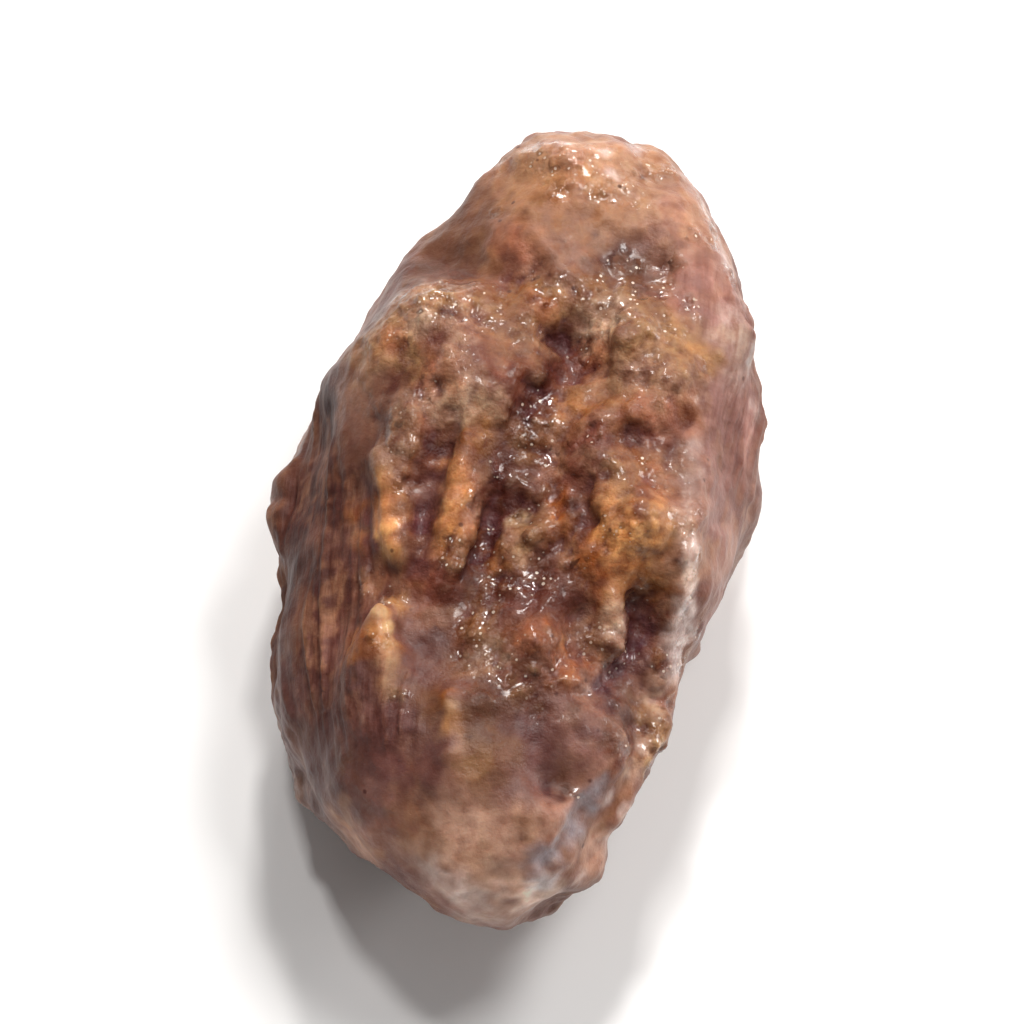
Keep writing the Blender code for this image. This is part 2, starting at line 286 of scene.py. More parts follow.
# %% Smooth ends and flanks
CALM_PLACES = (
    (0.76, 80, 4.5), (0.70, 45, 4.0), (0.59, 105, 2.6), (0.45, 25, 4.0), (0.16, 10, 4.0),
    (-0.10, 12, 3.5), (-0.34, 2, 3.0), (-0.54, -13, 3.0), (-0.88, 75, 4.5), (-0.90, 35, 3.5),
    (-0.85, 124, 3.5), (-0.11, 166, 3.5), (-0.35, 165, 3.5), (-0.63, 140, 3.5), (-0.71, 123, 2.6),
    (0.14, 163, 3.0), (0.40, 160, 3.0), (0.60, 139, 2.6), (0.4, 335, 3.0), (-0.2, 200, 3.0),
    (0.22, -14, 3.2), (0.05, -12, 3.2), (-0.10, -18, 3.0), (-0.02, -176, 2.2), (-0.37, 131, 1.8),
    (-0.19, 84, 1.1), (-0.45, 76, 1.4), (-0.16, 52, 2.4), (-0.72, -138, 1.8), (-0.24, 128, 1.0),
)
CALM_ROUNDS = 70
calm = np.zeros(len(coat.data.vertices))
for along, degrees, reach in CALM_PLACES:
    calm = np.maximum(calm, round_mask(points_of(coat), along, degrees, reach, softness=0.7))
keep_as_group("calm", calm)
apply_modifier(coat, "SMOOTH", factor=0.5, iterations=CALM_ROUNDS, vertex_group="calm")
coat.vertex_groups.clear()
tree = tree_of(coat)
print("calm over", round(100 * calm.mean()), "percent of the nut")

# %% [markdown]
# ## Folds and hollows, pulled one by one
# The syrup has set in folds, with hollows between them. A sculptor would pull these out with a
# soft brush. In edit mode the same is done with proportional editing: a few points are picked and
# moved along the surface's normal, and everything within reach follows them softly.

# %% Soft pulls
def pull(places, height):
    """Pulls the coat out by this many mm along these places. A negative height makes a hollow."""
    surface = points_of(coat)
    normals = normals_of(coat)
    picked = set()
    for along, degrees, _ in places:
        picked.add(int(np.argmin(np.linalg.norm(surface - np.array(spot(along, degrees)), axis=1))))
    for part in (coat.data.vertices, coat.data.edges, coat.data.polygons):
        part.foreach_set("select", np.zeros(len(part), bool))
    for index in picked:
        coat.data.vertices[index].select = True
    direction = Vector(normals[sorted(picked)].sum(axis=0)).normalized()
    choose(coat)
    bpy.ops.object.mode_set(mode="EDIT")
    bpy.ops.mesh.select_mode(type="VERT")
    bpy.ops.transform.translate(
        value=direction * height * MM, use_proportional_edit=True,
        proportional_edit_falloff="SMOOTH",
        proportional_size=max(reach for _, _, reach in places) * MM,
    )
    bpy.ops.object.mode_set(mode="OBJECT")


PULLS = (
    # the outline, drawn in where the solid is a little too full
    (-0.15, trail((0.90, 40, 1.8), (0.86, 30, 1.8))),
    (-0.70, trail((0.87, 143, 2.2), (0.76, 158, 2.2))),
    (-0.45, trail((0.58, 18, 2.4), (0.40, 18, 2.4))),
    (-0.50, trail((-0.12, -6, 2.4), (-0.32, -6, 2.4))),
    (-0.40, trail((-0.25, -176, 1.8), (-0.40, -176, 1.8))),
    (-0.28, ((0.30, 8, 0.9),)),
    (-0.30, ((0.27, -24, 1.0),)),
    (-0.35, trail((0.24, -8, 1.4), (0.08, -8, 1.4))),
    (-0.80, ((-0.95, -6, 1.8),)),
    (-0.70, ((-0.91, -150, 2.0),)),
    (-0.45, ((-0.07, -171, 1.2),)),
    (0.35, ((-0.83, 5, 1.3),)),
    # the shoulder below the far cap, and the furrow and the notch between them
    (0.35, ((0.28, 122, 3.4),)),
    (-0.45, trail((0.51, 135, 1.4), (0.46, 107, 1.4), (0.43, 97, 1.2))),
    (-0.40, ((0.50, 52, 2.0),)),
    (0.22, trail((0.77, 100, 0.8), (0.76, 83, 0.8), (0.79, 60, 0.8))),
    # dark pits in the middle
    (-0.40, trail((0.32, 76, 0.9), (0.21, 69, 0.9), (0.12, 84, 0.9))),
    (-0.35, ((0.05, 55, 1.0),)),
    (-0.30, trail((-0.09, 64, 0.6), (-0.18, 62, 0.6))),
    (-0.35, trail((-0.10, 93, 0.7), (-0.23, 98, 0.7))),
    # lengthwise ridges
    (0.40, trail((0.00, 102, 0.8), (-0.09, 107, 0.8), (-0.19, 111, 0.8))),
    (0.34, trail((-0.04, 133, 0.9), (-0.13, 131, 0.9), (-0.24, 130, 0.9))),
    (0.18, trail((-0.40, 129, 0.9), (-0.47, 127, 0.9), (-0.56, 126, 0.9))),
    (0.25, trail((-0.59, 103, 0.6), (-0.72, 100, 0.6))),
    # the mound on the right, and the nugget on the middle
    (0.25, ((-0.17, 48, 1.8),)),
    (0.30, trail((-0.31, 47, 0.8), (-0.38, 45, 0.8))),
    (-0.30, ((-0.14, 83, 0.9),)),
    # the fold of glaze down the right side
    (0.22, trail((0.09, 37, 0.9), (-0.04, 35, 0.9), (-0.15, 37, 0.9), (-0.22, 33, 0.9))),
    (0.42, trail((-0.20, 37, 0.9), (-0.27, 31, 0.9), (-0.33, 25, 0.9), (-0.42, 19, 0.9))),
    (-0.24, trail((-0.31, 36, 0.8), (-0.37, 31, 0.8), (-0.42, 33, 0.8), (-0.47, 38, 0.8))),
    (0.30, trail((-0.41, 41, 0.7), (-0.50, 53, 0.7))),
    (0.35, trail((-0.56, 20, 0.8), (-0.64, 16, 0.8), (-0.74, 18, 0.8))),
    # the rounded chunk on the left edge
    (0.55, ((0.03, -178, 1.1), (-0.07, -178, 1.1))),
    # the pit and the cap at the near end
    (-0.50, ((-0.73, 54, 1.1),)),
    (0.25, ((-0.82, 61, 1.5),)),
    (-0.25, trail((-0.78, 41, 0.7), (-0.90, 50, 0.7))),
)
for height, places in PULLS:
    pull(places, height)
print(len(PULLS), "pulls, box now in mm:", [round(side / MM, 2) for side in coat.dimensions])

# %% Finer faces for the finer relief
apply_modifier(coat, "SUBSURF", levels=1, render_levels=1)
tree = tree_of(coat)
coat.data.calc_loop_triangles()
print("the coat has", len(coat.data.loop_triangles), "triangles")

# %% [markdown]
# ## Noise to break up every edge
# Nothing on a cooked nut ends in a clean line. A texture painted by hand could show that, but it
# would have to be loaded. So three soft noises are worked out once at each point. A slow and a
# quick one bend the places where a patch begins and ends, so that no patch comes out as a disk,
# and a fine one frays its edge.

# %% Noise on the coat
def waves(points, size, seed):
    """Soft noise of about -1 to 1 at each point, with swells of this size in mm."""
    shift = Vector((seed * 7.3, seed * 3.1, seed * 5.7))
    return np.array([noise.noise(Vector(point) / (size * MM) + shift) for point in points])


def stretched_waves(points, size, stretch, seed):
    """Noise that is drawn out along the nut by this factor."""
    return waves(points * np.array((1, 1 / stretch, 1)), size, seed)


SLOW_DRIFT = 1.0
QUICK_DRIFT = 0.4
here = points_of(coat)
slow_drift = np.column_stack([waves(here, 1.5, seed) for seed in (1, 2, 3)]) * SLOW_DRIFT * MM
quick_drift = np.column_stack([waves(here, 0.45, seed) for seed in (4, 5, 6)]) * QUICK_DRIFT * MM
fray = waves(here, 0.34, 20)
print("edges drift by up to", round(np.abs(slow_drift).max() / MM, 2), "mm")

# %% Patches with bent edges, and clouds
FULL_SLOW_REACH = 2.2
FULL_QUICK_REACH = 0.8
FRAYING = 3.6


def patch(places, softness):
    """A mask round the places, each given as (along, degrees, reach in mm).

    A small patch drifts less than a large one, and a hard one frays more than a soft one.
    """
    mask = np.zeros(len(here))
    for along, degrees, reach in places:
        slow = slow_drift * min(1, reach / FULL_SLOW_REACH)
        quick = quick_drift * min(1, reach / FULL_QUICK_REACH)
        mask = np.maximum(mask, round_mask(here + slow + quick, along, degrees, reach, softness))
    return np.clip(mask * (1 + FRAYING * (1 - softness) * fray), 0, 1)


def clouds_of(size, seed, start, full, stretch=1.5):
    """A mask from noise alone, for parts of the nut that no place is given for."""
    return smooth_step(stretched_waves(here + quick_drift, size, stretch, seed), start, full)


print("edges fray by up to", round(np.abs(fray).max(), 2))

# %% [markdown]
# ## Where the coat is crusted, smooth or thin
# Four kinds of surface share the nut: crust over the middle, gritty spots where sugar grains lie
# bare, thin glaze over the skin on the flanks, and places where the syrup ran quite smooth. They
# could be four materials on chosen faces, but those would meet in hard lines. So each kind is a
# mask with soft edges. What raises the coat is kept as a vertex group, because that is what a
# relief modifier can read. Later the material reads crust, grit and skin as attributes.

# %% Places of crust, skin, grit and smooth glaze
CRUST_PLACES = (
    (0.27, 120, 3.2), (0.30, 79, 2.8), (0.27, 57, 2.4), (0.06, 85, 3.0), (-0.03, 60, 3.0),
    (-0.13, 96, 2.6), (-0.22, 63, 3.0), (-0.41, 71, 2.8), (-0.37, 37, 2.0), (0.03, 117, 2.2),
    (-0.30, 105, 2.0), (-0.59, 31, 1.6), (-0.51, 87, 1.6), (-0.55, 8, 1.8), (0.1, 215, 4.0),
    (0.5, 225, 3.6), (-0.6, 225, 3.6), (0.3, 300, 4.0), (-0.3, 315, 3.0), (0.7, 290, 3.5),
    (-0.75, 300, 3.0), (-0.1, 265, 3.0),
)
SKIN_PLACES = (
    (-0.07, 163, 2.8), (-0.30, 155, 3.2), (-0.50, 155, 3.0), (-0.60, 134, 1.8), (-0.28, 195, 3.0),
    (-0.12, 145, 1.8), (0.10, 168, 2.0), (0.44, 24, 2.4), (0.21, 20, 2.2), (0.30, 250, 3.2),
    (-0.45, 300, 3.4), (0.5, 345, 2.6),
)
GRIT_PLACES = (
    (0.38, 121, 0.8), (0.34, 111, 0.8), (0.32, 105, 0.6), (0.27, 125, 0.5), (0.43, 85, 0.7),
    (0.37, 85, 0.5), (0.51, 57, 0.5), (0.42, 53, 0.8), (0.41, 40, 0.5), (0.72, 63, 0.6),
    (0.79, 97, 0.5), (0.78, 86, 0.6), (0.11, 118, 0.6), (0.01, 126, 0.7), (0.06, 83, 1.1),
    (0.00, 74, 0.7), (-0.05, 94, 0.6), (0.33, 63, 0.9), (-0.04, 59, 0.5), (0.00, 49, 0.5),
    (-0.28, 111, 0.7), (-0.18, 100, 0.6), (-0.26, 77, 1.1), (-0.14, 83, 0.6), (-0.24, 62, 0.6),
    (-0.18, 55, 0.9), (-0.19, 52, 0.8), (-0.16, 40, 0.7), (-0.36, 132, 0.6), (-0.47, 127, 0.5),
    (-0.41, 98, 0.8), (-0.49, 90, 1.1), (-0.49, 81, 0.7), (-0.41, 25, 0.8), (-0.53, 47, 0.4),
    (-0.27, 30, 0.5), (-0.36, 20, 0.5), (0.72, 82, 0.5), (0.76, 56, 0.4), (0.60, 40, 0.4),
    (0.44, 46, 0.6), (0.48, 62, 0.4), (-0.30, 140, 0.5), (-0.60, 122, 0.4), (-0.10, 125, 0.5),
    (-0.63, 34, 0.5), (-0.55, 21, 0.8), (-0.50, 65, 0.5), (0.79, 68, 0.4), (0.84, 50, 0.5),
    (0.73, 64, 0.5), (0.67, 30, 0.5), (0.55, 28, 0.5), (-0.31, 17, 0.5), (-0.38, 15, 0.5),
    (0.73, 77, 0.9), (0.71, 61, 0.9), (0.73, 86, 0.8), (0.67, 70, 0.5), (0.50, 55, 0.8),
    (0.78, 72, 0.6), (0.76, 94, 0.6), (0.78, 50, 0.6), (0.66, 84, 0.4), (0.80, 40, 0.5),
    (0.34, 118, 1.4), (0.37, 108, 1.1), (0.30, 125, 0.9), (0.38, 60, 1.2), (0.35, 48, 0.9),
    (0.41, 67, 0.8), (0.24, 126, 0.7), (0.28, 66, 0.7), (-0.22, 36, 0.5), (-0.29, 29, 0.5),
    (0.41, 54, 1.0), (0.51, 44, 0.5), (0.36, 116, 1.0), (0.33, 109, 1.0), (0.30, 117, 0.7),
    (0.71, 32, 0.4), (0.61, 33, 0.4), (-0.13, 103, 0.6), (-0.23, 108, 0.5), (0.12, 80, 0.8),
    (0.04, 66, 0.6), (-0.10, 72, 0.6), (-0.30, 88, 0.7), (-0.37, 95, 0.6), (-0.52, 73, 0.6),
    (-0.43, 92, 0.6), (-0.49, 60, 0.5), (-0.40, 35, 0.6), (0.76, 112, 0.4), (-0.10, 37, 0.4),
    (-0.20, 35, 0.4), (0.70, 75, 0.3), (0.62, 110, 0.3), (-0.75, 45, 0.3),
)
SMOOTH_PLACES = (
    (0.15, 165, 3.0), (-0.10, 170, 3.0), (-0.40, 165, 3.0), (-0.70, 150, 3.5), (-0.85, 120, 3.2),
    (-0.92, 80, 3.4), (-0.70, 110, 2.4), (0.40, 152, 2.4), (0.65, 132, 2.6), (0.30, 5, 3.4),
    (0.10, 0, 3.0), (-0.15, 2, 3.0), (0.55, 8, 3.0), (-0.80, 40, 2.6), (-0.73, 70, 2.0),
    (-0.14, 131, 0.9), (-0.24, 130, 0.8), (-0.05, 132, 0.8), (-0.42, 128, 0.9), (-0.50, 126, 0.9),
    (-0.56, 126, 0.8), (-0.08, 108, 0.8), (-0.17, 109, 0.8), (-0.44, 76, 1.3), (-0.18, 84, 0.8),
    (-0.27, 31, 0.8), (-0.35, 24, 0.8), (-0.27, 50, 0.8), (-0.34, 46, 0.7), (-0.02, -178, 1.2),
)
print(len(GRIT_PLACES), "gritty spots and", len(SMOOTH_PLACES), "smooth ones")

# %% Their masks
CLOUDED_GRIT = 0.7
LEAST_GRIT = 0.25
LEVELLED_CRUST = 0.75
LEVELLED_GLAZE = 0.8
CRUST_LOST_ON_SKIN = 0.8
GLAZE_LOST_ON_SKIN = 0.75
smooth = patch(SMOOTH_PLACES, softness=0.9)
skin = patch(SKIN_PLACES, softness=0.9)
crust = patch(CRUST_PLACES, softness=0.8) * (1 - CRUST_LOST_ON_SKIN * skin)
clouded = CLOUDED_GRIT * clouds_of(1.6, 7, 0.05, 0.5) * crust
grit = np.maximum(patch(GRIT_PLACES, softness=0.9), clouded)
grit = np.maximum(grit, LEAST_GRIT * crust)
uneven = 0.55 + 0.45 * clouds_of(1.8, 8, -0.3, 0.3)
keep_as_group("crust_relief", crust * uneven * (1 - LEVELLED_CRUST * smooth))
keep_as_group("grit_relief", grit)
keep_as_group("glaze_relief", (1 - GLAZE_LOST_ON_SKIN * skin) * (1 - LEVELLED_GLAZE * smooth))
shares = [round(100 * mask.mean()) for mask in (crust, grit, skin, smooth)]
print("crust, grit, skin and smooth glaze cover", shares, "percent")

# %% [markdown]
# ## Relief in layers
# Cooked sugar sags, sets in lumps and dries into grains. Sculpting every lump by hand would take
# days. Displace modifiers do it by rule instead: slow clouds for the sag and the folds, quicker
# ones for lumps, grains and ripples, and one with cells for knobs. A Voronoi texture is dark in
# the middle of each cell and bright between cells, so a negative strength raises the middles into
# rounded knobs with creases between them.

# %% Lumps and grains
def relief(name, kind, size, height, group="", depth=4):
    """Raises the coat by a procedural texture with features of this size. Size and height in mm."""
    texture = bpy.data.textures.new(name, kind)
    texture.noise_scale = size * MM
    if kind == "CLOUDS":
        texture.noise_depth = depth
    apply_modifier(
        coat, "DISPLACE", texture=texture, texture_coords="LOCAL", strength=height * MM,
        mid_level=0.5, vertex_group=group,
    )


relief("syrup_sag", "CLOUDS", 2.0, 0.36, depth=2)
relief("glaze_folds", "CLOUDS", 1.1, 0.26, "glaze_relief", depth=2)
relief("sugar_lumps", "CLOUDS", 0.7, 0.42, "crust_relief")
relief("sugar_knobs", "VORONOI", 0.8, -0.18, "crust_relief")
relief("sugar_grains", "CLOUDS", 0.32, 0.20, "grit_relief", depth=2)
relief("glaze_ripple", "CLOUDS", 0.5, 0.09, "glaze_relief")
print("box after relief in mm:", [round(side / MM, 2) for side in coat.dimensions])

# %% [markdown]
# ## Wrinkles of the skin
# An almond's skin is pleated from tip to tip, and thin glaze keeps the pleats. A wood texture would
# draw straight bands, but the pleats follow the angle round the nut. So a wave of that angle draws
# them, and noise that is stretched along the nut lets them wander, part and fade. The wave is
# stored as a vertex group, and a Displace modifier with no texture at all then raises the coat by
# it. Runs of syrup on the crust are raised the same way. At the end the underside is pressed flat
# on the ground, as a coat sets on a tray.

# %% Pleats and runs of syrup
PLEATS_ROUND = 56
FINE_PLEATS_ROUND = 121
PLEAT_WANDER = 5
FINE_PLEAT_WANDER = 9
PLEAT_DEPTH = 0.24
RUN_HEIGHT = 0.30
turn_round = np.arctan2(here[:, 2] - middle.z, here[:, 0] - middle.x)
wander = stretched_waves(here, size=2.4, stretch=5, seed=9)
fading = smooth_step(stretched_waves(here, size=1.1, stretch=6, seed=10), -0.35, 0.35)
broad_pleat = 0.5 + 0.5 * np.cos(PLEATS_ROUND * turn_round + PLEAT_WANDER * wander)
fine_pleat = 0.5 + 0.5 * np.cos(FINE_PLEATS_ROUND * turn_round + FINE_PLEAT_WANDER * wander)
pleat = (0.6 * broad_pleat + 0.4 * fine_pleat) * fading
runs = smooth_step(stretched_waves(here, size=0.8, stretch=4, seed=11), -0.1, 0.5)
RUN_PLACES = (
    (0.00, 108, 2.2), (-0.11, 127, 2.2), (-0.21, 117, 2.0), (-0.15, 83, 2.0), (-0.34, 110, 1.8),
)
keep_as_group("pleats", skin * pleat)
keep_as_group("runs", patch(RUN_PLACES, softness=0.9) * runs)
apply_modifier(coat, "DISPLACE", strength=PLEAT_DEPTH * MM, mid_level=0, vertex_group="pleats")
apply_modifier(coat, "DISPLACE", strength=RUN_HEIGHT * MM, mid_level=0, vertex_group="runs")
coat.vertex_groups.clear()
print("pleats cover", round(100 * (skin * pleat > 0.2).mean()), "percent of the nut")

# %% The underside, pressed flat
pressed = points_of(coat)
pressed[:, 2] = np.maximum(pressed[:, 2], cad_low.z)
coat.data.vertices.foreach_set("co", pressed.ravel())
print("points on the ground:", int((pressed[:, 2] == cad_low.z).sum()))

# %% [markdown]
# ## Hollows
# The colour is made darker in hollows and paler on peaks, so the hollows are measured. Blender's
# dirty vertex colours find such hollows too, but only those one face wide. Here the points are
# averaged with their neighbours many times, and where the averaged surface lies above the real one
# there is a hollow.

# %% Measuring hollows
HOLLOW_ROUNDS = 12
edges = np.empty(len(coat.data.edges) * 2, int)
coat.data.edges.foreach_get("vertices", edges)
edges = edges.reshape(-1, 2)
neighbours = np.bincount(edges.ravel(), minlength=len(here))[:, None]


def averaged(values, rounds):
    """The values after each was averaged with its neighbours, this many times over."""
    for _ in range(rounds):
        total = np.empty_like(values)
        for column in range(values.shape[1]):
            total[:, column] = np.bincount(
                edges[:, 0], values[edges[:, 1], column], len(values)
            ) + np.bincount(edges[:, 1], values[edges[:, 0], column], len(values))
        values = (values + total / neighbours) / 2
    return values


surface = points_of(coat)
hollow = np.sum((averaged(surface, HOLLOW_ROUNDS) - surface) * normals_of(coat), axis=1) / MM
print("hollows:", np.percentile(hollow, (5, 50, 95)).round(3), "mm")

# %% [markdown]
# ## Painting the glaze
# The colour changes from place to place: beige where syrup covers pale sugar, purple brown where
# the skin shows through, amber where light passes a thick drop, nearly black red in deep pits. An
# image texture would have to be painted and loaded. A painter lays stains one over another, and
# the code does the same at each point of the coat. Each stain has a colour, a strength, a softness
# and its places. A few stains are painted light: shade on the far cap's left edge, a lilac
# reflection on the near end, and sheen on a pale film along the fold and rim on the right. A shade
# has no colour of its own: it multiplies what lies under it. Some shades tune the colour, some are
# painted shade over the left flank and the near end, and some are painted light on the near tip
# and a painted highlight along the right rim. The result is an attribute, one colour at each point.

# %% The colours of sugar and skin
CARAMEL = (0.150, 0.054, 0.031)
PURPLE_GLAZE = (0.094, 0.038, 0.032)
SKIN_BROWN = (0.092, 0.029, 0.018)
SKIN_TAN = (0.205, 0.084, 0.044)
DARK_CARAMEL = (0.052, 0.010, 0.008)
MAROON = (0.082, 0.025, 0.028)
RED_CARAMEL = (0.105, 0.026, 0.015)
OCHRE_SUGAR = (0.265, 0.128, 0.054)
# a brown laid as painted shade on the far cap's left edge
BROWN_PAINTED_SHADE = (0.160, 0.070, 0.038)
BEIGE_GLAZE = (0.300, 0.148, 0.085)
ROSE_BEIGE = (0.330, 0.168, 0.112)
AMBER = (0.250, 0.078, 0.018)
GOLD = (0.380, 0.170, 0.064)
ORANGE = (0.250, 0.080, 0.034)
CREAM_SUGAR = (0.460, 0.280, 0.140)
GREY_BEIGE = (0.360, 0.220, 0.145)
MAUVE = (0.225, 0.100, 0.080)
# a painted lilac reflection on glossy glaze
PAINTED_LILAC_REFLECTION = (0.260, 0.220, 0.232)
# a pale film that also carries painted sheen and highlights
PALE_FILM_AND_SHEEN = (0.560, 0.430, 0.390)
TIP_BEIGE = (0.440, 0.300, 0.250)

